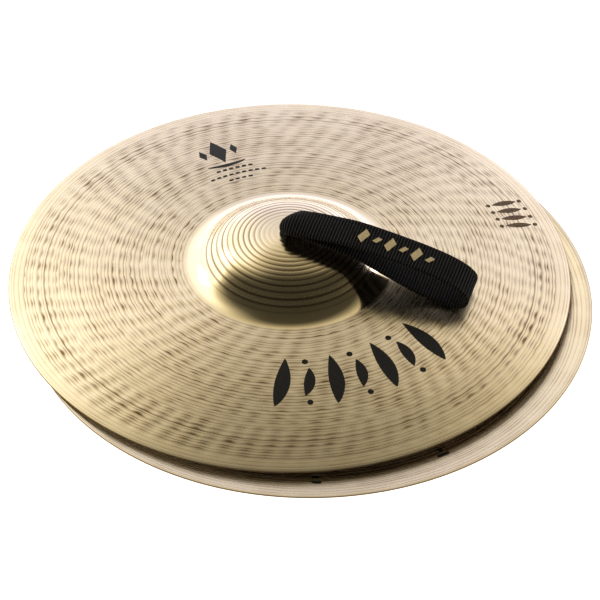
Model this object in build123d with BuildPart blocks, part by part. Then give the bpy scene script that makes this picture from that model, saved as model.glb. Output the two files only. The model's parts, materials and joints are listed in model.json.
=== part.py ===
from build123d import *
import math
import os

# A pair of orchestral hand cymbals laid face to face like a clam shell, each with a webbing
# hand strap.  Each cymbal is drawn bell up in its own local frame: the origin is on its axis in
# the plane of its striking edge, X runs the way its strap lies, and Z points out of the bell.
# Millimetres and degrees.

# Cymbal plate
CYMBAL_RADIUS = 203.2  # a 16 inch cymbal
APEX_HEIGHT = 45.0  # top of the bell above the striking edge
BELL_THICKNESS = 1.5
RIM_THICKNESS = 1.0
RIM_ROUND = 0.35
CROWN_RADIUS = 150.0  # flat top of the bell
CROWN_SWEEP = 15.5
SHOULDER_RADIUS = 36.0  # where the bell turns down
FLANK_SLOPE = 43.0
FLANK_LENGTH = 6.3
ROOT_RADIUS = 28.0  # hollow curve between bell and bow
BOW_START_SLOPE = 4.0
HOLE_DIAMETER = 12.7
HOLE_CHAMFER = 0.3

# How the pair lies
AXIS_SHIFT_X = 7.15  # each axis stands this far from the middle of the pair
AXIS_SHIFT_Y = 11.6
RIM_GAP = 0.4  # running gap between the two striking edges
STANCE_HEIGHT = 9.0  # lower bell's top above the surface it stands on
UPPER_LAY = -16.5  # direction of the upper strap, counter-clockwise from +X
LOWER_LAY = math.degrees(math.atan2(AXIS_SHIFT_Y, -AXIS_SHIFT_X))  # under the pair's weight

# Webbing strap
STRAP_WIDTH = 28.0
STRAP_THICKNESS = 2.0
STRAP_REACH = 136.5  # from the cymbal's axis to the end of the hand loop
BUNDLE_GAP = 0.4  # between the hole and the webbing squeezed together in it
BUNDLE_RISE = 0.6  # round bundle above the bell before it thins to two layers
WAIST_THICKNESS = 3.2
WAIST_INSET = 0.9  # the two layers are this much narrower than the bundle
PIVOT_RISE = 6.0  # pivot of the upper loop above the bell
PIVOT_RADIUS = 3.0
PIVOT_GAP = 0.3
LOOP_ROOT_START = -20.0
LOOP_ROOT_END = 84.0
LOOP_ROOT_WIDTH = 14.0
LOOP_FLARE_START = 5.0
LOOP_FLARE_END = 13.0
LOOP_CREST = 4.8  # the loop's highest stretch above its pivot
LOOP_FOLD_RADIUS = 7.0
LOOP_FOOT = 0.92  # where the loop's end rests, as a share of its reach
UPPER_BENDS = [120.0, 100.0]  # bend radii of the loop's upper layer
LOWER_BENDS = [60.0, 70.0]  # and of its lower layer
LOOP_REST_GAP = 0.4  # between the loop's end and the bow under it
FOLD_GAP = 0.4  # between the two layers of the loop pressed flat under the lower cymbal
LOWER_ROOT_REACH = 28.0  # squashed root of the lower strap, ahead of the axis
LOWER_ROOT_BACK = 14.0  # and behind it

# Leather pad and tails inside the bell
PAD_RADIUS = 19.0
PAD_THICKNESS = 3.0
PAD_GAP = 0.3
PAD_BORE_GAP = 0.3
TAIL_WIDTH = 16.0
TAIL_THICKNESS = 4.0  # webbing folded double
TAIL_HEIGHT = 16.0
TAIL_CORNER = 3.0
TAIL_TOP_GAP = 1.2  # under the middle of the pad
POST_DROP = 7.5  # post axis below the top of the tails

# Eyelets, post and screw
EYELET_FLANGE_RADIUS = 6.4
EYELET_FLANGE_THICKNESS = 0.8
EYELET_BARREL_RADIUS = 3.5
EYELET_BORE_RADIUS = 2.9
FIT_GAP = 0.1
MIDDLE_GAP = 0.2  # half the gap between the two inner washers
POST_RADIUS = 2.7
SCREW_RADIUS = 1.5
HEAD_RADIUS = 5.0
HEAD_THICKNESS = 1.8
HEAD_ROUND = 0.7
SLOT_WIDTH = 1.0
SLOT_DEPTH = 0.8

# Sizes that follow from the ones above
BUNDLE_DIAMETER = HOLE_DIAMETER - 2 * BUNDLE_GAP
NECK_WIDTH = BUNDLE_DIAMETER - WAIST_INSET
LAYERS_HEIGHT = 2 * STRAP_THICKNESS + FOLD_GAP
LOWER_RIM_HEIGHT = STANCE_HEIGHT + APEX_HEIGHT
UPPER_RIM_HEIGHT = LOWER_RIM_HEIGHT + RIM_GAP
FLOOR_HEIGHT = APEX_HEIGHT + STANCE_HEIGHT  # the surface, in the lower cymbal's own frame
PIVOT_HEIGHT = APEX_HEIGHT + PIVOT_RISE
CROWN_CENTRE = APEX_HEIGHT - CROWN_RADIUS
PAD_TOP_RADIUS = CROWN_RADIUS - BELL_THICKNESS - PAD_GAP
PAD_BOTTOM_RADIUS = PAD_TOP_RADIUS - PAD_THICKNESS
PAD_BORE_RADIUS = BUNDLE_DIAMETER / 2 + PAD_BORE_GAP
TAIL_TOP = CROWN_CENTRE + PAD_BOTTOM_RADIUS - TAIL_TOP_GAP  # where the bundle ends as well
POST_HEIGHT = TAIL_TOP - POST_DROP
WASHER_OUTER_FACE = MIDDLE_GAP + EYELET_FLANGE_THICKNESS
TAIL_OUTER_FACE = WASHER_OUTER_FACE + TAIL_THICKNESS
FLANGE_OUTER_FACE = TAIL_OUTER_FACE + EYELET_FLANGE_THICKNESS
HEAD_FACE = FLANGE_OUTER_FACE + FIT_GAP


def heading(angle):
    """Horizontal unit direction at an angle from +X."""
    return (math.cos(math.radians(angle)), math.sin(math.radians(angle)), 0)


CYMBALS = {
    "upper": Plane(
        origin=(-AXIS_SHIFT_X, AXIS_SHIFT_Y, UPPER_RIM_HEIGHT), x_dir=heading(UPPER_LAY), z_dir=(0, 0, 1)
    ),
    "lower": Plane(
        origin=(AXIS_SHIFT_X, -AXIS_SHIFT_Y, LOWER_RIM_HEIGHT), x_dir=heading(LOWER_LAY), z_dir=(0, 0, -1)
    ),
}


def placed(base, plane):
    """A plane of the local frame, moved to where the cymbal's own frame stands."""
    return Plane(base.location * plane.location)


def local_axis(base, point, direction):
    """An axis given in the local frame."""
    start = base.from_local_coords(Vector(*point))
    end = base.from_local_coords(Vector(*point) + Vector(*direction))
    return Axis(start, end - start)


def finish(piece, name):
    """Names a finished piece and writes it to its own file."""
    piece.part.label = name
    export_step(piece.part, f"parts/{name}.step")


def plate_face(depth, rim_height):
    """One face of the plate from the axis to the rim, this deep below the outer face in the bell."""
    crown = JernArc((0, APEX_HEIGHT - depth), (1, 0), CROWN_RADIUS - depth, -CROWN_SWEEP)
    shoulder = JernArc(crown @ 1, crown % 1, SHOULDER_RADIUS - depth, CROWN_SWEEP - FLANK_SLOPE)
    flank = PolarLine(shoulder @ 1, FLANK_LENGTH, direction=shoulder % 1)
    root = JernArc(flank @ 1, flank % 1, ROOT_RADIUS + depth, FLANK_SLOPE - BOW_START_SLOPE)
    bow = TangentArc(root @ 1, (CYMBAL_RADIUS, rim_height), tangent=root % 1)
    return crown @ 0, bow @ 1


def make_plate(base, name):
    """Bronze plate: bell, bow and rim in one turned section, thinning towards the rim."""
    with BuildPart() as plate:
        with BuildSketch(placed(base, Plane.XZ)) as section:
            with BuildLine():
                outer_start, outer_end = plate_face(0, RIM_THICKNESS)
                inner_start, inner_end = plate_face(BELL_THICKNESS, 0)
                Line(outer_start, inner_start)
                Line(outer_end, inner_end)
            make_face()
            Rectangle(HOLE_DIAMETER, 3 * APEX_HEIGHT, mode=Mode.SUBTRACT)
            chamfer(section.vertices().sort_by(Axis.X)[:2], HOLE_CHAMFER)
            fillet(section.vertices().sort_by(Axis.X)[-2:], RIM_ROUND)
        revolve(axis=local_axis(base, (0, 0, 0), (0, 0, 1)))
    finish(plate, name)


def make_pad(base, name):
    """Leather pad, dished to the inside of the bell, that spreads the pull of the strap."""
    with BuildPart() as pad:
        with BuildSketch(placed(base, Plane.XZ)):
            with Locations((0, CROWN_CENTRE)):
                Circle(PAD_TOP_RADIUS)
                Circle(PAD_BOTTOM_RADIUS, mode=Mode.SUBTRACT)
            with Locations((PAD_BORE_RADIUS, 0)):
                Rectangle(
                    PAD_RADIUS - PAD_BORE_RADIUS,
                    APEX_HEIGHT,
                    align=(Align.MIN, Align.MIN),
                    mode=Mode.INTERSECT,
                )
        revolve(axis=local_axis(base, (0, 0, 0), (0, 0, 1)))
    finish(pad, name)


def make_upper_neck(base, name):
    """Webbing squeezed through the hole, thinning to two layers up to the pivot of the loop."""
    with BuildPart() as neck:
        with BuildSketch(placed(base, Plane.XY.offset(TAIL_TOP))):
            Circle(BUNDLE_DIAMETER / 2)
        extrude(amount=APEX_HEIGHT + BUNDLE_RISE - TAIL_TOP)
        with BuildSketch(placed(base, Plane.XZ)):
            with Locations((0, APEX_HEIGHT)):
                Rectangle(WAIST_THICKNESS, PIVOT_RISE, align=(Align.CENTER, Align.MIN))
            with Locations((0, PIVOT_HEIGHT)):
                Circle(PIVOT_RADIUS)
        extrude(amount=NECK_WIDTH / 2, both=True)
    finish(neck, name)


def make_lower_root(base, name):
    """Root of the lower strap, pressed flat between the bell and the surface it stands on."""
    pad_top = FLOOR_HEIGHT - LAYERS_HEIGHT
    with BuildPart() as root:
        with BuildSketch(placed(base, Plane.XY.offset(TAIL_TOP))):
            Circle(BUNDLE_DIAMETER / 2)
        extrude(amount=pad_top - TAIL_TOP)
        with BuildSketch(placed(base, Plane.XY.offset(pad_top))):
            with Locations((-LOWER_ROOT_BACK, 0)):
                Rectangle(
                    LOWER_ROOT_REACH + LOWER_ROOT_BACK, STRAP_WIDTH, align=(Align.MIN, Align.CENTER)
                )
        extrude(amount=LAYERS_HEIGHT)
        back_corners = root.edges().filter_by(Axis.Z).group_by(
            lambda edge: round(base.to_local_coords(edge.center()).X, 3)
        )[0]
        fillet(back_corners, STRAP_WIDTH / 4)
    finish(root, name)


def bow_height(radius):
    """Height of the outer face of the bow at a radius."""
    with BuildLine() as face:
        plate_face(0, RIM_THICKNESS)
    bow = face.edges().sort_by(Axis.X)[-1]
    return bow.arc_center.Y + math.sqrt(bow.radius**2 - (radius - bow.arc_center.X) ** 2)


def make_upper_loop(base, name):
    """Hand loop: a teardrop of webbing lying over the bell, its end resting on the bow."""
    rest_height = bow_height(LOOP_FOOT * STRAP_REACH) + LOOP_REST_GAP + STRAP_THICKNESS / 2
    drop = PIVOT_HEIGHT - rest_height
    start = PIVOT_RADIUS + PIVOT_GAP
    # Shares of the reach outwards, and of the drop from the pivot to the bow downwards
    route = [
        (start, PIVOT_HEIGHT + 0.8 * LOOP_CREST),
        (0.35 * STRAP_REACH, PIVOT_HEIGHT + LOOP_CREST),
        (0.81 * STRAP_REACH, PIVOT_HEIGHT - 0.27 * drop),
        (STRAP_REACH + STRAP_THICKNESS, PIVOT_HEIGHT - 0.62 * drop),
        (0.957 * STRAP_REACH, rest_height - STRAP_THICKNESS / 2),
        (0.705 * STRAP_REACH, PIVOT_HEIGHT - 0.78 * drop),
        (0.32 * STRAP_REACH, PIVOT_HEIGHT - 0.06 * drop),
        (start, PIVOT_HEIGHT + STRAP_THICKNESS / 2),
    ]
    bends = UPPER_BENDS + [LOOP_FOLD_RADIUS, LOOP_FOLD_RADIUS] + LOWER_BENDS
    half_root = LOOP_ROOT_WIDTH / 2
    half_strap = STRAP_WIDTH / 2
    with BuildPart() as loop:
        with BuildSketch(placed(base, Plane.XZ)):
            with BuildLine():
                FilletPolyline(*route, radius=bends)
            trace(line_width=STRAP_THICKNESS)
        extrude(amount=half_strap, both=True)
        with BuildSketch(placed(base, Plane.XZ)):
            with BuildLine():
                root_sector(PIVOT_RADIUS + PIVOT_GAP + STRAP_THICKNESS)
            make_face()
        extrude(amount=half_root, both=True)
        with BuildSketch(placed(base, Plane.XZ)):
            with Locations((0, PIVOT_HEIGHT)):
                Circle(PIVOT_RADIUS + PIVOT_GAP)
        extrude(amount=STRAP_WIDTH, both=True, mode=Mode.SUBTRACT)
        with BuildSketch(placed(base, Plane.XY)):
            with BuildLine():
                Polyline(
                    (-STRAP_WIDTH, half_root),
                    (LOOP_FLARE_START, half_root),
                    (LOOP_FLARE_END, half_strap + FIT_GAP),
                    (LOOP_FLARE_END, STRAP_WIDTH),
                    (-STRAP_WIDTH, STRAP_WIDTH),
                    close=True,
                )
            make_face()
            mirror(about=Plane.XZ)
        extrude(amount=2 * APEX_HEIGHT, mode=Mode.SUBTRACT)
    finish(loop, name)


def root_sector(radius):
    """Outline of the loop's root around its pivot."""
    centre = Vector(0, PIVOT_HEIGHT)
    arc = CenterArc(centre, radius, LOOP_ROOT_START, LOOP_ROOT_END - LOOP_ROOT_START)
    Polyline(arc @ 1, centre, arc @ 0)


def make_lower_loop(base, name):
    """Hand loop pressed flat on the surface, hinged along the lower edge of the squashed root."""
    with BuildPart() as loop:
        with BuildSketch(placed(base, Plane.XZ)):
            with Locations((LOWER_ROOT_REACH + PIVOT_GAP, FLOOR_HEIGHT)):
                Rectangle(
                    STRAP_REACH - LOWER_ROOT_REACH - PIVOT_GAP,
                    LAYERS_HEIGHT,
                    align=(Align.MIN, Align.MAX),
                )
        extrude(amount=STRAP_WIDTH / 2, both=True)
        end = loop.faces().filter_by(lambda face: abs(face.normal_at().Z) < 0.5)
        outer = end.sort_by(lambda face: base.to_local_coords(face.center()).X)[-1]
        fillet(outer.edges().filter_by(GeomType.LINE).filter_by(Plane.XY), STRAP_THICKNESS)
        with BuildSketch(placed(base, Plane.XZ)):
            with Locations((LOWER_ROOT_REACH, FLOOR_HEIGHT - LAYERS_HEIGHT / 2)):
                Rectangle(
                    STRAP_REACH - LOWER_ROOT_REACH - STRAP_THICKNESS,
                    FOLD_GAP,
                    align=(Align.MIN, Align.CENTER),
                )
        extrude(amount=STRAP_WIDTH, both=True, mode=Mode.SUBTRACT)
    finish(loop, name)


def make_tail(base, name, hand):
    """One tail of the strap, folded double below the hole, with a bore for its eyelet."""
    with BuildPart() as tail:
        with BuildSketch(placed(base, Plane.YZ.offset(hand * WASHER_OUTER_FACE))):
            with Locations((0, TAIL_TOP)):
                Rectangle(TAIL_WIDTH, TAIL_HEIGHT, align=(Align.CENTER, Align.MAX))
        extrude(amount=hand * TAIL_THICKNESS)
        foot = tail.edges().filter_by(local_axis(base, (0, 0, 0), (1, 0, 0)))
        foot = foot.sort_by(lambda edge: base.to_local_coords(edge.center()).Z)[:2]
        fillet(foot, TAIL_CORNER)
        with BuildSketch(placed(base, Plane.YZ)):
            with Locations((0, POST_HEIGHT)):
                Circle(EYELET_BARREL_RADIUS + FIT_GAP)
        extrude(amount=hand * STRAP_WIDTH, mode=Mode.SUBTRACT)
    finish(tail, name)


def make_grommet(base, name, hand):
    """Brass eyelet: a flange on the outer face of the tail and a barrel through it."""
    with BuildPart() as grommet:
        with BuildSketch(placed(base, Plane.YZ.offset(hand * TAIL_OUTER_FACE))):
            with Locations((0, POST_HEIGHT)):
                Circle(EYELET_FLANGE_RADIUS)
        extrude(amount=hand * EYELET_FLANGE_THICKNESS)
        outer = grommet.edges().filter_by(GeomType.CIRCLE)
        outer = outer.sort_by(lambda edge: hand * base.to_local_coords(edge.center()).X)[-1]
        fillet(outer, EYELET_FLANGE_THICKNESS / 2)
        with BuildSketch(placed(base, Plane.YZ.offset(hand * MIDDLE_GAP))):
            with Locations((0, POST_HEIGHT)):
                Circle(EYELET_BARREL_RADIUS)
        extrude(amount=hand * (TAIL_OUTER_FACE - MIDDLE_GAP))
        with BuildSketch(placed(base, Plane.YZ)):
            with Locations((0, POST_HEIGHT)):
                Circle(EYELET_BORE_RADIUS)
        extrude(amount=hand * STRAP_WIDTH, mode=Mode.SUBTRACT)
    finish(grommet, name)


def make_washer(base, name, hand):
    """Brass washer that the eyelet's barrel is clenched against, on the tail's inner face."""
    with BuildPart() as washer:
        with BuildSketch(placed(base, Plane.YZ.offset(hand * MIDDLE_GAP))):
            with Locations((0, POST_HEIGHT)):
                Circle(EYELET_FLANGE_RADIUS)
                Circle(EYELET_BARREL_RADIUS + FIT_GAP, mode=Mode.SUBTRACT)
        extrude(amount=hand * EYELET_FLANGE_THICKNESS)
    finish(washer, name)


def add_head(base, hand):
    """Round slotted head on one end of the post, in the active part."""
    with BuildPart(mode=Mode.PRIVATE) as head:
        with BuildSketch(placed(base, Plane.YZ.offset(hand * HEAD_FACE))):
            with Locations((0, POST_HEIGHT)):
                Circle(HEAD_RADIUS)
        extrude(amount=hand * HEAD_THICKNESS)
        rim = head.edges().filter_by(GeomType.CIRCLE)
        fillet(rim.sort_by(lambda edge: hand * base.to_local_coords(edge.center()).X)[-1], HEAD_ROUND)
        with BuildSketch(placed(base, Plane.YZ.offset(hand * (HEAD_FACE + HEAD_THICKNESS)))):
            with Locations((0, POST_HEIGHT)):
                Rectangle(3 * HEAD_RADIUS, SLOT_WIDTH)
        extrude(amount=-hand * SLOT_DEPTH, mode=Mode.SUBTRACT)
    return head.part


def make_post(base, name):
    """Hollow post through both eyelets; wider than the hole, it holds the strap in the bell."""
    with BuildPart() as post:
        with BuildSketch(placed(base, Plane.YZ.offset(HEAD_FACE))):
            with Locations((0, POST_HEIGHT)):
                Circle(POST_RADIUS)
                Circle(SCREW_RADIUS + FIT_GAP, mode=Mode.SUBTRACT)
        extrude(amount=FIT_GAP - 2 * HEAD_FACE)
        add(add_head(base, 1))
    finish(post, name)


def make_screw(base, name):
    """Screw that closes the post from the other side."""
    with BuildPart() as screw:
        with BuildSketch(placed(base, Plane.YZ.offset(-HEAD_FACE))):
            with Locations((0, POST_HEIGHT)):
                Circle(SCREW_RADIUS)
        extrude(amount=2 * HEAD_FACE - EYELET_FLANGE_THICKNESS)
        add(add_head(base, -1))
    finish(screw, name)


os.makedirs("parts", exist_ok=True)

for side, base in CYMBALS.items():
    make_plate(base, f"{side}_plate")
    make_pad(base, f"{side}_pad")
    for end, hand in (("a", 1), ("b", -1)):
        make_tail(base, f"{side}_strap_tail_{end}", hand)
        make_grommet(base, f"{side}_eyelet_{end}", hand)
        make_washer(base, f"{side}_eyelet_washer_{end}", hand)
    make_post(base, f"{side}_post")
    make_screw(base, f"{side}_post_screw")

make_upper_neck(CYMBALS["upper"], "upper_strap_neck")
make_lower_root(CYMBALS["lower"], "lower_strap_neck")
make_upper_loop(CYMBALS["upper"], "upper_hand_loop")
make_lower_loop(CYMBALS["lower"], "lower_hand_loop")
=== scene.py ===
import json
import math
import bmesh
import bpy
from mathutils import Matrix, Vector


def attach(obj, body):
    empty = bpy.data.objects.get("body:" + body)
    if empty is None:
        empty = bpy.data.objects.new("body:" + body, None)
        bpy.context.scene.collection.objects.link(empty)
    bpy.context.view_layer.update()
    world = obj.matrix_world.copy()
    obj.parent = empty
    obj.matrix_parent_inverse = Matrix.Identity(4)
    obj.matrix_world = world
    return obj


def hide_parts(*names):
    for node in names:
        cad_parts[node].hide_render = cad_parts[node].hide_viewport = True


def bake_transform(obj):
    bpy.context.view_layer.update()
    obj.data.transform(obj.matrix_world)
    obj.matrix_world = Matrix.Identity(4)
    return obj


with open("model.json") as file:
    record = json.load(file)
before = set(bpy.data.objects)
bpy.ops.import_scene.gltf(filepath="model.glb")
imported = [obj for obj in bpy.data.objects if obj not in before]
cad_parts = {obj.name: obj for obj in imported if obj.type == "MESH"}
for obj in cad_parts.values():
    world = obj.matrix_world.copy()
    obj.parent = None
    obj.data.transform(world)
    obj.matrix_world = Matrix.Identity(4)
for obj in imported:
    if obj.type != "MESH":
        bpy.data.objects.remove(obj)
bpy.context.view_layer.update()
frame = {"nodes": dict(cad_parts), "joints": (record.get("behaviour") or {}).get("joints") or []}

joints = {joint["name"]: joint for joint in frame["joints"]}
mm = 0.001


# ---- where each cymbal stands, from its own joints

def standOf(side):
    # local X runs the way the strap lies, local Z out of the bell, origin in the striking plane
    place = Vector(joints[side + "_strap_spin"]["pos_m"])
    swing = Vector(joints[side + "_loop_swing"]["axis"])
    bellWay = Vector((0, 0, 1 if side == "upper" else -1))
    lay = bellWay.cross(swing)
    across = bellWay.cross(lay)
    return Matrix.Translation(place) @ Matrix((lay, across, bellWay)).transposed().to_4x4()


stands = {side: standOf(side) for side in ("upper", "lower")}
print("stands", [tuple(round(value, 3) for value in stands[side].col[0]) for side in stands])


# ---- shader helpers

class Field:  # one socket that Python's operators work on
    def __init__(self, shade, socket):
        self.shade = shade
        self.socket = socket

    def maths(self, operation, *others):
        sockets = dict(enumerate((self, *others)))
        return self.shade.node("ShaderNodeMath", {"operation": operation}, sockets)

    def __add__(self, other):
        return self.maths("ADD", other)

    def __radd__(self, other):
        return self.maths("ADD", other)

    def __sub__(self, other):
        return self.maths("SUBTRACT", other)

    def __rsub__(self, other):
        return (self * -1).maths("ADD", other)

    def __mul__(self, other):
        return self.maths("MULTIPLY", other)

    def __rmul__(self, other):
        return self.maths("MULTIPLY", other)

    def __truediv__(self, other):
        return self.maths("DIVIDE", other)

    def bell(self, width):  # 1 where the value is 0, falling away on both sides
        return (self * self * (-1 / width ** 2)).maths("EXPONENT")

    def between(self, start, end):  # 0 before start, 1 after end, smooth between
        settings = {"interpolation_type": "SMOOTHSTEP"}
        return self.shade.node("ShaderNodeMapRange", settings, {0: self, 1: start, 2: end})


class Shade:  # a material and the few ways its nodes are made
    def __init__(self, name):
        self.material = bpy.data.materials.new(name)
        self.openTree(self.material)

    def openTree(self, owner):
        owner.use_nodes = True
        self.tree = owner.node_tree
        self.tree.nodes.clear()

    def node(self, kind, settings=None, sockets=None, out=0):
        made = self.tree.nodes.new(kind)
        for key, value in (settings or {}).items():
            if key == "stops":
                self.setStops(made.color_ramp, value)
            else:
                setattr(made, key, value)
        for key, value in (sockets or {}).items():
            if isinstance(value, Field):
                self.tree.links.new(value.socket, made.inputs[key])
            else:
                made.inputs[key].default_value = value
        return Field(self, made.outputs[out]) if len(made.outputs) else None

    def setStops(self, ramp, stops):
        while len(ramp.elements) < len(stops):
            ramp.elements.new(0.5)
        for element, (place, colour) in zip(ramp.elements, stops):
            element.position = place
            element.color = colour

    def split(self, vector, count):  # the first one, two or three of a vector's parts
        return [self.node("ShaderNodeSeparateXYZ", None, {0: vector}, out=axis) for axis in range(count)]

    def blend(self, amount, first, second):  # two colours
        settings = {"data_type": "RGBA"}
        return self.node("ShaderNodeMix", settings, {0: amount, 6: first, 7: second}, out=2)

    def noise(self, sockets, dimensions="3D"):
        return self.node("ShaderNodeTexNoise", {"noise_dimensions": dimensions}, sockets)

    def place(self, centre=(0, 0, 0), scale=1000):  # object coordinates in millimetres
        spot = self.node("ShaderNodeTexCoord", out="Object")
        shift = tuple(-value * scale for value in centre)
        sockets = {"Vector": spot, "Location": shift, "Scale": (scale,) * 3}
        return self.node("ShaderNodeMapping", None, sockets)

    def bump(self, height, strength, distance):
        sockets = {"Height": height, "Strength": strength, "Distance": distance}
        return self.node("ShaderNodeBump", None, sockets)

    def finish(self, sockets):
        surface = self.node("ShaderNodeBsdfPrincipled", None, sockets)
        self.node("ShaderNodeOutputMaterial", None, {"Surface": surface})
        return self.material


# ---- mesh helpers

def makePiece(name, bm, material, body, smooth=True):
    mesh = bpy.data.meshes.new(name)
    bm.to_mesh(mesh)
    bm.free()
    mesh.materials.append(material)
    mesh.polygons.foreach_set("use_smooth", [smooth] * len(mesh.polygons))
    piece = bpy.data.objects.new(name, mesh)
    bpy.context.collection.objects.link(piece)
    if body:
        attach(piece, body)
    return piece


def thicken(bm, sheet, way):
    # turns an open sheet into a closed film, the new faces pushed along a way
    faces = list(dict.fromkeys(face for vert in sheet for face in vert.link_faces))
    sunk = bmesh.ops.extrude_face_region(bm, geom=faces)
    moved = [item for item in sunk["geom"] if isinstance(item, bmesh.types.BMVert)]
    bmesh.ops.translate(bm, verts=moved, vec=way)


# ---- bronze plates

plateFacts = {
    "rimRadius": 203.2, "apexHeight": 45.0, "bellThickness": 1.5, "rimThickness": 1.0,
    "crownRadius": 150.0, "crownSweep": 15.5, "shoulderRadius": 36.0, "flankSlope": 43.0,
    "flankLength": 6.3, "rootRadius": 28.0, "bowStartSlope": 4.0, "holeRadius": 6.35,
    "edge": 0.3, "lipIn": 0.09, "lipDrop": 0.12, "lipHalf": 0.18,
    "steps": 448, "bellEnd": 77.0, "bellStep": 1.0, "bowStep": 2.0, "innerStep": 3.4,
    "grooves": 16, "grooveDepth": 0.065, "grooveReach": 62.0, "grooveFadeOut": 3.0, "grooveFadeIn": 4.0,
    "rowPitch": 6.0, "firstRow": 79.0, "rows": 20, "markArc": 14.0, "group": 5, "slant": 0.16,
    "dentDepth": 0.14, "dentWidth": 2.2, "dentLength": 4.0,
}


def faceHeight(radius, depth=0.0, rimHeight=None):
    # height of a face of the plate over the striking plane, this deep under the outer face
    f = plateFacts
    crown, shoulder, root = f["crownRadius"], f["shoulderRadius"], f["rootRadius"]
    sweep, slope, start = (math.radians(f[k]) for k in ("crownSweep", "flankSlope", "bowStartSlope"))
    rimHeight = f["rimThickness"] if rimHeight is None else rimHeight
    if radius < (crown - depth) * math.sin(sweep):
        return f["apexHeight"] - crown + math.sqrt((crown - depth) ** 2 - radius ** 2)
    turnX = (crown - shoulder) * math.sin(sweep)
    turnZ = f["apexHeight"] - crown + (crown - shoulder) * math.cos(sweep)
    flankX = turnX + (shoulder - depth) * math.sin(slope)
    flankZ = turnZ + (shoulder - depth) * math.cos(slope)
    if radius < flankX:
        return turnZ + math.sqrt((shoulder - depth) ** 2 - (radius - turnX) ** 2)
    rootX = flankX + f["flankLength"] * math.cos(slope)
    rootZ = flankZ - f["flankLength"] * math.sin(slope)
    if radius < rootX:
        return flankZ - (radius - flankX) * math.tan(slope)
    hollowX = rootX + (root + depth) * math.sin(slope)
    hollowZ = rootZ + (root + depth) * math.cos(slope)
    bowX = hollowX - (root + depth) * math.sin(start)
    bowZ = hollowZ - (root + depth) * math.cos(start)
    if radius < bowX:
        return hollowZ - math.sqrt((root + depth) ** 2 - (radius - hollowX) ** 2)
    run = f["rimRadius"] - bowX
    fall = rimHeight - bowZ
    bend = (run ** 2 + fall ** 2) / (2 * (-math.sin(start) * run - math.cos(start) * fall))
    bowCentreX = bowX - bend * math.sin(start)
    bowCentreZ = bowZ - bend * math.cos(start)
    return bowCentreZ + math.sqrt(bend ** 2 - (radius - bowCentreX) ** 2)


def innerHeight(radius):
    return faceHeight(radius, plateFacts["bellThickness"], 0)


def spread(start, end, step):
    count = max(1, round((end - start) / step))
    return [start + (end - start) * i / count for i in range(count + 1)]


def hammerRow(row):
    # radius of a row of hammer marks, how many marks are in it and where the first one is
    f = plateFacts
    radius = f["firstRow"] + f["rowPitch"] * row
    middle = f["firstRow"] + f["rowPitch"] * (row // f["group"] * f["group"] + f["group"] // 2)
    return radius, round(math.tau * middle / f["markArc"]), f["slant"] * row % 1


def dentAt(x, y):
    f = plateFacts
    radius = math.hypot(x, y)
    turn = math.atan2(y, x) / math.tau
    row = round((radius - f["firstRow"]) / f["rowPitch"])
    if not 0 <= row < f["rows"]:
        return 0
    rowRadius, marks, phase = hammerRow(row)
    along = ((turn * marks + phase) % 1 - 0.5) * math.tau * rowRadius / marks
    fall = ((radius - rowRadius) / f["dentWidth"]) ** 2 + (along / f["dentLength"]) ** 2
    return f["dentDepth"] * math.exp(-fall)


def outerProfile():
    # the outer face from the hole to the rim, with the grooves of the bell
    f = plateFacts
    start = f["holeRadius"] + f["edge"]
    end = f["rimRadius"] - f["edge"]
    profile = []
    for radius in spread(start, f["bellEnd"], f["bellStep"]) + spread(f["bellEnd"], end, f["bowStep"])[1:]:
        fadeOut = min(1, max(0, (f["grooveReach"] - radius) / f["grooveFadeOut"]))
        fadeIn = min(1, (radius - f["holeRadius"]) / f["grooveFadeIn"])
        wave = math.cos(math.tau * radius / f["grooveReach"] * f["grooves"])
        profile.append((radius, faceHeight(radius) + wave * f["grooveDepth"] * fadeOut * fadeIn))
    return profile


def turnPlate(side, material):
    f = plateFacts
    rim, hole, edge = f["rimRadius"], f["holeRadius"], f["edge"]
    outer = outerProfile()
    inner = [(radius, innerHeight(radius)) for radius in spread(hole + edge, rim - edge, f["innerStep"])]
    rimTop = faceHeight(rim - edge)
    rimLow = innerHeight(rim - edge)
    middle = f["rimThickness"] / 2
    lip = [
        (rim - f["lipIn"], rimTop - f["lipDrop"]), (rim, middle + f["lipHalf"]),
        (rim, middle - f["lipHalf"]), (rim - f["lipIn"], rimLow + f["lipDrop"]),
    ]
    wall = [(hole, inner[0][1] + edge), (hole, outer[0][1] - edge)]
    ring = outer + lip + inner[::-1] + wall
    bm = bmesh.new()
    inside = bm.verts.layers.float.new("inside")
    verts = [bm.verts.new((x * mm, 0, z * mm)) for x, z in ring]
    for vert, spot in zip(verts, ring):
        vert[inside] = 1 if spot in inner else 0
    edges = [bm.edges.new((verts[i - 1], verts[i])) for i in range(len(verts))]
    bmesh.ops.spin(
        bm, geom=verts + edges, cent=(0, 0, 0), axis=(0, 0, 1), angle=math.tau,
        steps=f["steps"], use_merge=True, use_duplicate=False,
    )
    for vert in bm.verts:  # hammer marks, pressed into the outer face and through to the inner one
        vert.co.z -= dentAt(vert.co.x / mm, vert.co.y / mm) * mm
    bmesh.ops.recalc_face_normals(bm, faces=bm.faces)
    bmesh.ops.transform(bm, matrix=stands[side], verts=bm.verts)
    plate = makePiece(side + "Plate", bm, material, side + "_cymbal")
    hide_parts(side + "_plate")


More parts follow.
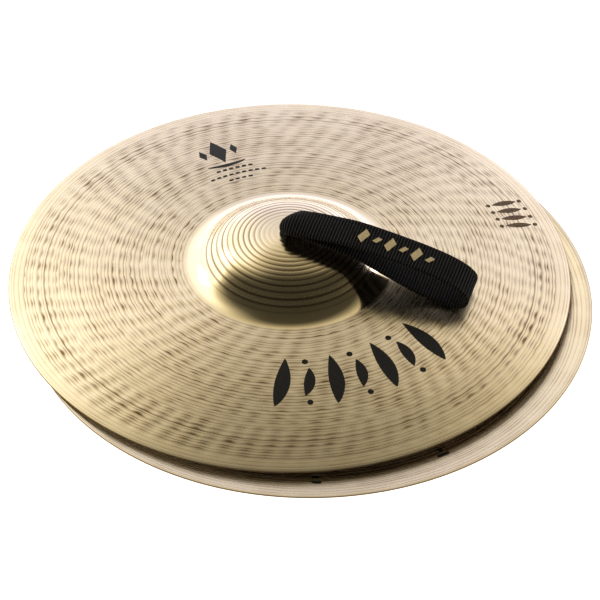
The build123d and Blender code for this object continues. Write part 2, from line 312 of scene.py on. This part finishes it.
bronzeFacts = {
    "bright": (0.93, 0.82, 0.62, 1), "tan": (0.83, 0.70, 0.49, 1), "dash": (0.15, 0.085, 0.04, 1),
    "roughness": 0.25, "bellRoughness": 0.18, "polishedRoughness": 0.11, "anisotropy": 0.75, "turn": 0.25,
    "linePitch": 2.7, "lineDark": 0.66, "dentDark": 0.46, "innerShade": 0.6, "lineBend": 0.85,
    "toneWidth": 2.7, "toneLength": 4.3, "toneEnd": (192, 195), "markDrift": 0.16, "rowDrift": 1.2,
    "bowStart": (74, 77), "innerShadeEnd": (176, 187),
    "rings": ((177.5, 0.55, 0.45), (63.5, 0.5, 0.3)), "rimShadeBand": (202.4, 203.1), "rimShade": 0.85,
}


def markTone(shade, radius, turn, patch):
    # 1 in the middle of each hammer mark, the marks in columns that lean a little
    f, p = bronzeFacts, plateFacts
    row = ((radius - p["firstRow"]) / p["rowPitch"] + 0.5).maths("FLOOR")
    rowRadius = row * p["rowPitch"] + p["firstRow"]
    groupPitch = p["group"] * p["rowPitch"]
    groupMiddle = p["firstRow"] + p["group"] // 2 * p["rowPitch"]
    middle = (row / p["group"]).maths("FLOOR") * groupPitch + groupMiddle
    marks = (middle * (math.tau / p["markArc"]) + 0.5).maths("FLOOR")
    count = turn * marks + row * p["slant"]
    seed = count.maths("FLOOR") + row * 211
    own = shade.node("ShaderNodeTexWhiteNoise", {"noise_dimensions": "1D"}, {"W": seed})
    drift = (own - 0.5) * f["markDrift"]
    along = (count - count.maths("FLOOR") - 0.5 + drift) * rowRadius * math.tau / marks
    outwards = radius - rowRadius + (own - 0.5) * f["rowDrift"]
    tone = outwards.bell(f["toneWidth"]) * along.bell(f["toneLength"])
    tone = tone * radius.between(p["firstRow"] - 4, p["firstRow"]) * (1 - radius.between(*f["toneEnd"]))
    return tone * (0.55 + own * 0.45) * (0.55 + patch * 0.8)


def bronzeShade(side):
    f, p = bronzeFacts, plateFacts
    shade = Shade(side + "Bronze")
    spot = shade.place(stands[side].translation)
    x, y = shade.split(spot, 2)
    radius = (x * x + y * y).maths("SQRT")
    turn = y.maths("ARCTAN2", x) / math.tau
    onBow = radius.between(*f["bowStart"])
    onBell = 1 - radius.between(p["grooveReach"] - 3, p["grooveReach"] + 1)
    patch = shade.noise({"Vector": spot, "Scale": 0.045, "Detail": 3.0})
    inside = shade.node("ShaderNodeAttribute", {"attribute_name": "inside"}, out="Fac")
    dent = markTone(shade, radius, turn, patch) * (1 - inside)
    # lathe lines, pushed aside a little by the marks
    wander = shade.noise({"W": radius / 7, "Scale": 1.0, "Detail": 3.0}, "1D")
    strength = shade.noise({"W": radius / 3.1, "Scale": 1.0, "Detail": 2.0, "Roughness": 0.7}, "1D")
    fine = shade.noise({"W": radius / 0.7, "Scale": 1.0, "Detail": 2.0, "Roughness": 0.7}, "1D")
    bent = radius + dent * f["lineBend"]
    wave = (bent * (math.tau / f["linePitch"]) + wander * 9).maths("SINE") * 0.5 + 0.5
    line = wave.between(0.42, 0.98) * (0.5 + strength.between(0.3, 0.7) * 0.5)
    line = line * (0.6 + patch.between(0.35, 0.65) * 0.5) + fine.between(0.5, 0.8) * 0.22
    bowDark = line * f["lineDark"] * (0.7 + dent * 0.3) + dent * f["dentDark"] * (0.7 + line * 0.5)
    # the bell's grooves, the single dark rings, painted shade along the rim's edge and painted shade on the
    # inner face
    groove = 0.5 - (radius * (math.tau * p["grooves"] / p["grooveReach"])).maths("COSINE") * 0.5
    bellDark = groove.between(0.5, 1.0) * (0.45 + strength * 0.6) * radius.between(14, 30)
    # the rim band is painted shade along the edge, which also darkens the gap between the plates
    dark = bowDark * onBow + bellDark * onBell + radius.between(*f["rimShadeBand"]) * f["rimShade"]
    for ringRadius, width, amount in f["rings"]:
        dark = dark + (radius - ringRadius).bell(width) * amount
    # painted shade on the inner face, fading out before the rim, which darkens the gap between the plates
    dark = dark + inside * (1 - radius.between(*f["innerShadeEnd"])) * f["innerShade"]
    colour = shade.blend(patch.between(0.3, 0.7) * 0.4, f["bright"], f["tan"])
    rough = f["polishedRoughness"] + (f["roughness"] - f["polishedRoughness"]) * onBow
    rough = rough + (f["bellRoughness"] - f["polishedRoughness"]) * onBell + fine * 0.05 * onBow
    return shade.finish({
        "Base Color": shade.blend(dark, colour, f["dash"]), "Metallic": 1.0, "Roughness": rough,
        "Anisotropic": f["anisotropy"], "Anisotropic Rotation": f["turn"],
        "Normal": shade.bump((fine * 0.012 - line * 0.03) * onBow, 0.6, 0.001),
    })


for side in ("upper", "lower"):
    turnPlate(side, bronzeShade(side))
print("plates turned")


# ---- printed and stamped marks, thin films that follow the plate

filmFacts = {"rise": 0.09, "depth": 0.16, "leastHalf": 0.02}


def filmStrip(bm, side, centre, spine, halfWidth, rows=24, columns=4, inside=False):
    # a film swept along a spine; the spine and its width are in mm, along the arc and outwards
    f = filmFacts
    outwards = -1 if inside else 1
    centreRadius, centreTurn = centre
    sheet = bmesh.ops.create_grid(bm, x_segments=columns, y_segments=rows, size=1)["verts"]
    for vert in sheet:
        t = (vert.co.y + 1) / 2
        a, b = spine(t)
        nextA, nextB = spine(t + 0.001)
        length = math.hypot(nextA - a, nextB - b) or 1
        shift = vert.co.x * max(halfWidth(t), f["leastHalf"])
        radius = centreRadius + b + (nextA - a) / length * shift
        turn = math.radians(centreTurn) + (a - (nextB - b) / length * shift) / centreRadius
        face = innerHeight(radius) if inside else faceHeight(radius)
        spot = Vector((radius * math.cos(turn), radius * math.sin(turn), face + outwards * f["rise"]))
        vert.co = stands[side] @ (spot * mm)
    thicken(bm, sheet, stands[side].to_3x3() @ Vector((0, 0, -outwards * f["depth"] * mm)))


def leaf(bm, side, centre, length, width, lean=0.0, bend=0.0):
    # a pointed leaf standing outwards, its tip leaning along the arc
    def spine(t):
        u = t - 0.5
        return lean * u + bend * (1 - 4 * u * u), -length * u

    filmStrip(bm, side, centre, spine, lambda t: width / 2 * max(0, math.sin(math.pi * t)) ** 0.8)


def lozenge(bm, side, centre, length, width):
    filmStrip(bm, side, centre, lambda t: (0, (0.5 - t) * length), lambda t: width / 2 * (1 - abs(2 * t - 1)))


def bar(bm, side, centre, length, width, inside=False):
    def reach(t):
        return width / 2 * min(1, math.sqrt(max(0, 1 - (2 * t - 1) ** 8)))

    filmStrip(bm, side, centre, lambda t: ((t - 0.5) * length, 0), reach, 16, 2, inside)


def dot(bm, side, centre, width):
    def reach(t):
        return width / 2 * math.sqrt(max(0, 1 - (2 * t - 1) ** 2))

    filmStrip(bm, side, centre, lambda t: ((t - 0.5) * width, 0), reach, 20, 4)


def swoosh(bm, side, centre, length, rise, width):
    def spine(t):
        return (t - 0.5) * length, rise * (1 - (2 * t - 1) ** 2)

    filmStrip(bm, side, centre, spine, lambda t: width / 2 * max(0, math.sin(math.pi * t)) ** 0.6, 48)


def onPlate(degrees):
    # a turn given in the shared frame, as the upper cymbal's own frame has it
    lay = stands["upper"].col[0]
    return degrees - math.degrees(math.atan2(lay.y, lay.x))


def inkShade(name, first, second, roughness):
    shade = Shade(name)
    grain = shade.noise({"Vector": shade.place(), "Scale": 0.8, "Detail": 4.0})
    return shade.finish({
        "Base Color": shade.blend(grain.between(0.35, 0.7), first, second),
        "Roughness": roughness + grain * 0.2, "Specular IOR Level": 0.2,
        "Normal": shade.bump(grain, 0.3, 0.00005),
    })


def finishMarks(name, bm, ink, body):
    bmesh.ops.recalc_face_normals(bm, faces=bm.faces)
    makePiece(name, bm, ink, body, False)


printedFacts = {
    "ink": ((0.006, 0.0055, 0.005, 1), (0.016, 0.014, 0.012, 1)), "roughness": 0.4,
    "rowRadius": 126.0, "rowStart": -93.0, "rowEnd": -41.0, "rowShapes": 7,
    "tallLeaf": (44, 11), "shortLeaf": (25, 8), "leafLean": 5.0, "leafBend": 1.5,
    "dotShift": 18.5, "dotWidth": 4.4,
    "emblemRadius": 141.0, "emblemTurn": 112.0, "lozenges": ((-12.0, 14), (0, 32), (12.0, 14)),
    "lozengeShape": 0.42, "arcDrop": 16, "arc": (30, -3, 3.4),
    "dashRows": ((116.5, 6), (109, 9), (102, 4)), "dashPitch": 5.0, "dash": (3.4, 1.9), "dashTurn": -1.5,
}


def printMarks(ink):
    # a row of leaves and dots in front, and an emblem of lozenges with rows of dashes behind
    f = printedFacts
    bm = bmesh.new()
    for i in range(f["rowShapes"]):
        turn = onPlate(f["rowStart"] + (f["rowEnd"] - f["rowStart"]) * i / (f["rowShapes"] - 1))
        length, width = f["shortLeaf"] if i % 2 else f["tallLeaf"]
        leaf(bm, "upper", (f["rowRadius"], turn), length, width, f["leafLean"], f["leafBend"])
        if i % 2:
            for shift in (-f["dotShift"], f["dotShift"]):
                dot(bm, "upper", (f["rowRadius"] + shift, turn), f["dotWidth"])
    emblem = onPlate(f["emblemTurn"])
    for shift, tall in f["lozenges"]:
        turn = emblem - math.degrees(shift / f["emblemRadius"])
        lozenge(bm, "upper", (f["emblemRadius"] + 1, turn), tall, tall * f["lozengeShape"])
    swoosh(bm, "upper", (f["emblemRadius"] - f["arcDrop"], emblem), *f["arc"])
    for radius, count in f["dashRows"]:
        for i in range(count):
            turn = emblem + f["dashTurn"] + math.degrees((i - (count - 1) / 2) * f["dashPitch"] / radius)
            bar(bm, "upper", (radius, turn), *f["dash"])
    finishMarks("printedMarks", bm, ink, "upper_cymbal")


stampedFacts = {
    "ink": ((0.10, 0.055, 0.025, 1), (0.24, 0.15, 0.07, 1)), "roughness": 0.35,
    "radius": 176.0, "turn": 22.0, "firstTurn": -4.4, "pitch": 2.9, "leaves": 4, "leaf": (20, 5.2),
    "dotShift": 13, "dotWidth": 3.4,
}


def stampMarks(ink):
    f = stampedFacts
    bm = bmesh.new()
    for i in range(f["leaves"]):
        turn = onPlate(f["turn"] + f["firstTurn"] + f["pitch"] * i)
        leaf(bm, "upper", (f["radius"], turn), *f["leaf"])
        for shift in (-f["dotShift"], f["dotShift"]):
            dot(bm, "upper", (f["radius"] + shift, turn), f["dotWidth"])
    finishMarks("stampedMarks", bm, ink, "upper_cymbal")


innerFacts = {  # radius, turn in the lower cymbal's own frame and length of each bar
    "bars": ((181.0, 181.2, 10.0), (175.0, 181.2, 6.0), (184.5, 210.6, 8.0), (178.0, 210.6, 5.0)),
    "barWidth": 3.2,
}


def barMarks(ink):
    f = innerFacts
    bm = bmesh.new()
    for radius, turn, length in f["bars"]:
        bar(bm, "lower", (radius, turn), length, f["barWidth"], True)
    finishMarks("innerMarks", bm, ink, "lower_cymbal")


printInk = inkShade("printInk", *printedFacts["ink"], printedFacts["roughness"])
stampInk = inkShade("stampInk", *stampedFacts["ink"], stampedFacts["roughness"])
printMarks(printInk)
stampMarks(stampInk)
barMarks(printInk)
print("marks drawn")


# ---- webbing straps

# each route is the strap's middle line in its cymbal's own frame: along the lay and over the striking
# plane, with how far it has narrowed towards its tail and how far it has curled
webFacts = {
    "width": 28.0, "thickness": 2.0, "tailWidth": 16.0, "ribPitch": 2.25, "ribDepth": 0.24,
    "step": 0.35, "columns": 12, "edgeRadius": 0.8, "leastCurl": 2, "fullCurl": 165,
    "ribFade": 2.0, "edgeRise": 0.1,
    "upperRoute": [
        (-4.9, 37.8, 1.0, 1.0), (-4.9, 41, 1.0, 1.0), (-5.0, 44.5, 1.0, 1.0), (-6.0, 48.6, 0.9, 0.95),
        (-5.6, 52.6, 0.5, 0.8), (-2.2, 55.8, 0.15, 0.55), (4, 57.3, 0.0, 0.3), (14, 57.1, 0.0, 0.14),
        (30, 56.3, 0.0, 0.06), (48, 55.2, 0.0, 0.02), (73, 50.5, 0, 0), (100, 44.3, 0, 0), (118, 38.6, 0, 0),
        (131, 31.5, 0, 0), (135.3, 25, 0, 0), (133.2, 18.6, 0, 0), (127, 16.2, 0, 0), (115, 17.8, 0, 0),
        (98, 23.6, 0, 0), (80, 31.7, 0, 0), (60, 41.4, 0, 0), (44, 47.2, 0.05, 0.05), (28, 50.2, 0.2, 0.1),
        (15, 51.4, 0.6, 0.2), (8, 50.6, 0.9, 0.25), (3.6, 47.6, 1.3, 0.25), (2.3, 44, 1.45, 0.25),
        (2.3, 41, 1.45, 0.25), (2.3, 37.8, 1.45, 0.25),
    ],
    "lowerRoute": [
        (-4.6, 37.8, 1.0, 1.0), (-4.6, 41, 1.0, 1.0), (-4.8, 44.2, 1.0, 0.9), (-6.6, 47.4, 0.8, 0.6),
        (-10.2, 49.6, 0.4, 0.15), (-11.9, 51.0, 0.1, 0), (-9.8, 52.0, 0, 0), (-4, 52.35, 0, 0),
        (14, 52.4, 0, 0), (60, 52.4, 0, 0), (110, 52.4, 0, 0), (130.5, 52.35, 0, 0), (134.3, 51.1, 0, 0),
        (130.5, 49.9, 0, 0), (110, 49.8, 0, 0), (60, 49.8, 0, 0), (28, 49.9, 0.1, 0), (12, 49.7, 0.5, 0),
        (6.5, 48.6, 0.9, 0.1), (3.2, 46.6, 1.3, 0.2), (2.3, 44, 1.45, 0.25), (2.3, 41, 1.45, 0.25),
        (2.3, 37.8, 1.45, 0.25),
    ],
}


def routeSlope(points, knots, i):
    # how fast a route changes at one of its points
    low = max(i - 1, 0)
    high = min(i + 1, len(points) - 1)
    left = knots[i] - knots[low]
    right = knots[high] - knots[i]
    before = [(p - q) / max(left, 1e-9) for p, q in zip(points[i], points[low])]
    after = [(p - q) / max(right, 1e-9) for p, q in zip(points[high], points[i])]
    if low == i:
        return after
    if high == i:
        return before
    share = left / (left + right)
    return [p * (1 - share) + q * share for p, q in zip(before, after)]


def smoothRoute(points, step, perSpan=40):
    # a Catmull-Rom curve with knots by distance, sampled evenly along its length
    knots = [0.0]
    for a, b in zip(points, points[1:]):
        knots.append(knots[-1] + math.hypot(b[0] - a[0], b[1] - a[1]) ** 0.5)
    slopes = [routeSlope(points, knots, i) for i in range(len(points))]
    dense = []
    for i in range(len(points) - 1):
        span = knots[i + 1] - knots[i]
        for j in range(perSpan):
            t = j / perSpan
            h = (2 * t**3 - 3 * t**2 + 1, t**3 - 2 * t**2 + t, -2 * t**3 + 3 * t**2, t**3 - t**2)
            corners = zip(points[i], slopes[i], points[i + 1], slopes[i + 1])
            dense.append([h[0] * p + h[1] * span * m + h[2] * q + h[3] * span * n for p, m, q, n in corners])
    dense.append(list(points[-1]))
    lengths = [0.0]
    for a, b in zip(dense, dense[1:]):
        lengths.append(lengths[-1] + math.hypot(b[0] - a[0], b[1] - a[1]))
    count = round(lengths[-1] / step)
    samples = []
    k = 0
    for i in range(count + 1):
        goal = lengths[-1] * i / count
        while k < len(lengths) - 2 and lengths[k + 1] < goal:
            k += 1
        t = (goal - lengths[k]) / (lengths[k + 1] - lengths[k])
        samples.append([p + (q - p) * t for p, q in zip(dense[k], dense[k + 1])])
    return samples, lengths[-1] / count


def strapWidth(sample):
    return webFacts["width"] + (webFacts["tailWidth"] - webFacts["width"]) * sample[2]


def strapPoint(side, samples, i, v, lift):
    # where a point of the band lies: v across it, lift out of its middle line
    f = webFacts
    u, z, _, curl = samples[i]
    low = samples[max(i - 1, 0)]
    high = samples[min(i + 1, len(samples) - 1)]
    run = Vector((high[0] - low[0], 0, high[1] - low[1])).normalized()
    up = Vector((-run.z, 0, run.x))
    radius = strapWidth(samples[i]) / math.radians(f["leastCurl"] + f["fullCurl"] * min(1, max(0, curl)))
    sense = 1 if i < len(samples) * 0.5 else -1  # both ends curl towards each other
    reach = radius + lift * sense
    across = reach * math.sin(v / radius)
    bow = (reach * math.cos(v / radius) - radius) * sense
    return stands[side] @ ((Vector((u, 0, z)) + up * bow + Vector((0, across, 0))) * mm)


def bandOutline(width):
    # the band's cross-section: v across it and n out of it, all the way round
    f = webFacts
    half, corner, columns = f["thickness"] / 2, f["edgeRadius"], f["columns"]
    flat = width / 2 - corner
    outline = [(flat * (j / columns * 2 - 1), half) for j in range(columns + 1)]
    for turn in (math.radians(degrees) for degrees in (45, 90, 135)):
        outline.append((flat + corner * math.sin(turn), half * math.cos(turn)))
    return outline + [(-v, -n) for v, n in outline]


def weaveStrap(side, samples, step, material):
    # a grid bent round into a tube, its ends closed; it gets its ribs and its UV map on the way
    f = webFacts
    half = f["thickness"] / 2
    outlines = [bandOutline(strapWidth(sample)) for sample in samples]
    size = len(outlines[0])
    rows = len(samples) - 1
    bm = bmesh.new()
    uvs = bm.loops.layers.uv.new("weave")
    bmesh.ops.create_grid(bm, x_segments=size, y_segments=rows, size=1)
    bm.verts.index_update()
    spots = [(round((vert.co.y + 1) / 2 * rows), round((vert.co.x + 1) / 2 * size)) for vert in bm.verts]
    for face in bm.faces:
        for loop in face.loops:
            i, j = spots[loop.vert.index]
            loop[uvs].uv = (outlines[i][j % size][0] * mm, i * step * mm)
    for vert, (i, j) in zip(bm.verts, spots):
        v, n = outlines[i][j % size]
        inward = min(1, (strapWidth(samples[i]) / 2 - abs(v)) / f["ribFade"])
        rib = f["ribDepth"] * math.cos(math.tau * i * step / f["ribPitch"])
        rise = rib * inward + f["edgeRise"] * (1 - inward)
        vert.co = strapPoint(side, samples, i, v, n + n / half * rise)
    seam = [vert for vert, (i, j) in zip(bm.verts, spots) if j in (0, size)]
    bmesh.ops.remove_doubles(bm, verts=seam, dist=1e-7)
    bmesh.ops.holes_fill(bm, edges=[edge for edge in bm.edges if edge.is_boundary], sides=0)
    bmesh.ops.recalc_face_normals(bm, faces=bm.faces)
    return makePiece(side + "Strap", bm, material, None)


goldFacts = {
    "start": 55.0, "end": 104.0, "shapes": 6, "tall": 15.0, "wide": 7.5, "smallTall": 0.42, "smallWide": 0.8,
    "slant": 0.25, "rise": 1.26, "depth": 0.3,
    "ink": ((0.62, 0.50, 0.26, 1), (0.80, 0.68, 0.42, 1)), "roughness": 0.4,
}


def printStrap(samples, material):
    # a row of large and small lozenges on the upper layer of the strap
    f = goldFacts
    bm = bmesh.new()
    half = range(len(samples) // 2)
    start, end = (min(half, key=lambda i: abs(samples[i][0] - u)) for u in (f["start"], f["end"]))
    for n in range(f["shapes"]):
        centre = round(start + (end - start) / (f["shapes"] - 1) * n)
        small = n % 2
        tall = f["tall"] * f["smallTall"] if small else f["tall"]
        wide = f["wide"] * f["smallWide"] if small else f["wide"]
        reach = round(wide / 2 / webFacts["step"])
        sheet = bmesh.ops.create_grid(bm, x_segments=8, y_segments=2 * reach, size=1)["verts"]
        for vert in sheet:
            i = round(vert.co.y * reach)
            span = tall / 2 * (1 - abs(i) / (reach + 0.3))
            across = span * vert.co.x + i * f["slant"]
            vert.co = strapPoint("upper", samples, centre + i, across, f["rise"])
        thicken(bm, sheet, (0, 0, -f["depth"] * mm))
    bmesh.ops.recalc_face_normals(bm, faces=bm.faces)
    makePiece("strapPrint", bm, material, "upper_loop", False)


# dark is the weave's own black; light is the colour of the painted highlight on the rib tops
webShadeFacts = {
    "dark": (0.0012, 0.0012, 0.0013, 1), "light": (0.105, 0.10, 0.095, 1), "roughness": 0.55,
    "yarnPitch": 1.1,
}


def webShade(name, useUv=True):
    f = webShadeFacts
    ribPitch = webFacts["ribPitch"]
    shade = Shade(name)
    if useUv:
        place = shade.node("ShaderNodeUVMap", {"uv_map": "weave"})
        place = shade.node("ShaderNodeMapping", None, {"Vector": place, "Scale": (1000, 1000, 1000)})
    else:
        place = shade.place()
    x, y = shade.split(place, 2)
    shift = (y / ribPitch).maths("FLOOR").maths("MODULO", 2) * 0.5  # every other rib is half a yarn along
    yarn = ((x / f["yarnPitch"] + shift).maths("FRACT") - 0.5).maths("ABSOLUTE") * 2
    rib = (y * (math.tau / ribPitch)).maths("COSINE") * 0.5 + 0.5
    fibre = shade.noise({"Vector": place, "Scale": 2.2, "Detail": 5.0, "Roughness": 0.7})
    sheenPatches = shade.noise({"Vector": place, "Scale": 0.06, "Detail": 2.0})
    # the rib tops carry a painted highlight, made patchy by a noise and broken up by the yarn and the fibres
    light = rib.between(0.74, 1.0) * (0.62 + (1 - yarn) * 0.4) * (0.25 + sheenPatches * 0.45 + fibre * 0.35)
    height = rib * 0.5 + (1 - yarn) * 0.6 + fibre * 0.5
    return shade.finish({
        "Base Color": shade.blend(light, f["dark"], f["light"]), "Roughness": f["roughness"] + fibre * 0.25,
        "Specular IOR Level": 0.06, "Normal": shade.bump(height, 0.7, 0.0004),
    })


upperSamples, upperStep = smoothRoute(webFacts["upperRoute"], webFacts["step"])
lowerSamples, lowerStep = smoothRoute(webFacts["lowerRoute"], webFacts["step"])
upperStrap = weaveStrap("upper", upperSamples, upperStep, webShade("upperWebbing"))
lowerStrap = weaveStrap("lower", lowerSamples, lowerStep, webShade("lowerWebbing"))
printStrap(upperSamples, inkShade("goldInk", *goldFacts["ink"], goldFacts["roughness"]))


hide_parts("upper_strap_neck", "upper_hand_loop")
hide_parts("lower_strap_neck", "lower_hand_loop")
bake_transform(upperStrap)
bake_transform(lowerStrap)
print("straps woven")


# ---- carried-over hardware

hardwareFacts = {
    "nickel": ((0.78, 0.77, 0.74, 1), (0.55, 0.54, 0.51, 1), 0.15),
    "brass": ((0.83, 0.62, 0.26, 1), (0.52, 0.36, 0.15, 1), 0.2),
    "hide": ((0.045, 0.028, 0.018, 1), (0.10, 0.065, 0.04, 1), 0.55),
}


def metalShade(name, bright, dull, roughness):
    shade = Shade(name)
    scuff = shade.noise({"Vector": shade.place(), "Scale": 0.9, "Detail": 6.0, "Roughness": 0.65})
    return shade.finish({
        "Base Color": shade.blend(scuff.between(0.4, 0.75), bright, dull), "Metallic": 1.0,
        "Roughness": roughness + scuff * 0.2, "Normal": shade.bump(scuff, 0.25, 0.0001),
    })


def hideShade(name, dark, light, roughness):
    shade = Shade(name)
    spot = shade.place()
    settings = {"feature": "DISTANCE_TO_EDGE"}
    cells = shade.node("ShaderNodeTexVoronoi", settings, {"Vector": spot, "Scale": 0.9})
    grain = shade.noise({"Vector": spot, "Scale": 0.5, "Detail": 5.0})
    height = cells.between(0, 0.25) + grain * 0.4
    return shade.finish({
        "Base Color": shade.blend(grain.between(0.3, 0.7), dark, light), "Roughness": roughness + grain * 0.2,
        "Normal": shade.bump(height, 0.5, 0.0003),
    })


kinds = {
    "pad": hideShade("padHide", *hardwareFacts["hide"]),
    "strap_tail": webShade("tailWebbing", False),
    "eyelet": metalShade("eyeletBrass", *hardwareFacts["brass"]),
    "post": metalShade("nickelPlate", *hardwareFacts["nickel"]),
}
for name, node in frame["nodes"].items():
    for kind, material in kinds.items():
        if "_" + kind in name:
            node.data.materials.clear()
            node.data.materials.append(material)
print("hardware painted")


# ---- room

roomFacts = {
    "floorSize": 14.0, "floorTones": ((0.93, 0.93, 0.93, 1), (0.88, 0.88, 0.88, 1)), "floorGlow": 0.95,
    "distance": 3.0, "elevation": 40.885, "lens": 248.76, "aimRight": 0.0075, "aimUp": -0.0153,
    "climbGreys": (  # how bright the sky is, from the horizon behind the object over its top to the camera
        (0.0, 1.0), (0.1, 0.94), (0.2, 0.77), (0.265, 0.9), (0.3, 0.7), (0.33, 0.5), (0.365, 0.24),
        (0.41, 0.06), (0.82, 0.03),
    ),
    "skyWarm": (1.0, 0.87, 0.54, 1), "skyMiddle": (1.0, 0.95, 0.96, 1), "skyCool": (1.0, 0.97, 1.18, 1),
    "skyGold": (1.0, 0.95, 0.76, 1), "sideLean": 0.06, "rightLean": 0.2,
    "leftLift": 0.8, "rightLift": 0.3, "lowLift": 0.7,
    "lights": {  # place, size, power and colour
        "backBox": ((0.35, 2.4, 0.42), (2.6, 0.3), 1.6, (1.0, 0.96, 1.0)),
        "leftBox": ((-1.9, 1.6, 1.7), (0.7, 0.9), 3.5, (1.0, 0.94, 0.82)),
        "rightBox": ((2.2, 1.7, 1.2), (0.6, 0.9), 4, (1.0, 0.94, 0.90)),
    },
    "lightTarget": (0, 0, 0.07),
}


def makeFloor():
    f = roomFacts
    shade = Shade("studioFloor")
    grain = shade.noise({"Vector": shade.place(), "Scale": 0.2, "Detail": 2.0})
    tone = shade.blend(grain.between(0.2, 0.8) * 0.02, *f["floorTones"])
    glowing = shade.finish({
        "Base Color": tone, "Roughness": 0.6, "Emission Color": tone, "Emission Strength": f["floorGlow"],
    })
    bm = bmesh.new()
    bmesh.ops.create_grid(bm, x_segments=4, y_segments=4, size=f["floorSize"] / 2)
    floor = makePiece("studioFloor", bm, glowing, None)


def addToScene(name, data, place, target):
    # a lamp or a camera that looks from a place at a target
    holder = bpy.data.objects.new(name, data)
    holder.location = place
    holder.rotation_euler = (Vector(target) - Vector(place)).to_track_quat("-Z", "Y").to_euler()
    bpy.context.collection.objects.link(holder)
    return holder


def makeLight(name, place, size, power, colour):
    lamp = bpy.data.lights.new(name, "AREA")
    lamp.shape = "RECTANGLE"
    lamp.size, lamp.size_y = size
    lamp.energy = power
    lamp.color = colour
    addToScene(name, lamp, place, roomFacts["lightTarget"])


class Sky(Shade):  # the studio round the object, as a world
    def __init__(self, name):
        self.world = bpy.data.worlds.new(name)
        self.openTree(self.world)


def makeWorld():
    # brightest low behind the object, falling away overhead, dark on the camera's side
    f = roomFacts
    sky = Sky("studio")
    x, y, z = sky.split(sky.node("ShaderNodeTexCoord", out="Generated"), 3)
    climb = z.maths("ARCTAN2", y) / math.pi
    aside = (x * -1).between(0.04, 0.4) + x.between(0.04, 0.4) * f["rightLean"]
    climb = climb - aside * f["sideLean"] * climb.between(0.15, 0.3)
    stops = [(place, (grey, grey, grey, 1)) for place, grey in f["climbGreys"]]
    level = sky.node("ShaderNodeValToRGB", {"stops": stops}, {0: climb})
    left = (x * -1).between(0.08, 0.4) * (1 - climb.between(0.25, 0.34) * 0.85)
    right = x.between(0.08, 0.3) * (1 - climb.between(0.22, 0.34))
    low = (1 - z.between(0.35, 0.5)) * (1 - y.between(-0.3, 0.2))
    front = 1 - climb.between(0.3, 0.5)
    level = level + low * f["lowLift"] + front * left * f["leftLift"] + right * f["rightLift"]
    tint = sky.blend(climb.between(0.0, 0.2), f["skyCool"], f["skyMiddle"])
    tint = sky.blend(climb.between(0.2, 0.33), tint, f["skyWarm"])
    tint = sky.blend(left * 0.7, tint, f["skyGold"])
    glow = sky.node("ShaderNodeBackground", None, {"Color": tint, "Strength": level})
    sky.node("ShaderNodeOutputWorld", None, {"Surface": glow})
    bpy.context.scene.world = sky.world


def makeCamera():
    f = roomFacts
    tilt = math.radians(f["elevation"])
    back = Vector((0, -math.cos(tilt), math.sin(tilt)))
    rise = Vector((0, math.sin(tilt), math.cos(tilt)))
    rimCentre = stands["upper"].translation + Vector((0, 0, plateFacts["rimThickness"] * mm))
    lens = bpy.data.cameras.new("camera")
    lens.lens = f["lens"]
    lens.sensor_width = 36
    lens.clip_end = 50
    aim = rimCentre + Vector((f["aimRight"], 0, 0)) + rise * f["aimUp"]
    bpy.context.scene.camera = addToScene("camera", lens, rimCentre + back * f["distance"], aim)


makeFloor()
makeWorld()
for name, values in roomFacts["lights"].items():
    makeLight(name, *values)
makeCamera()
bpy.context.scene.view_settings.view_transform = "Standard"
print("room lit")
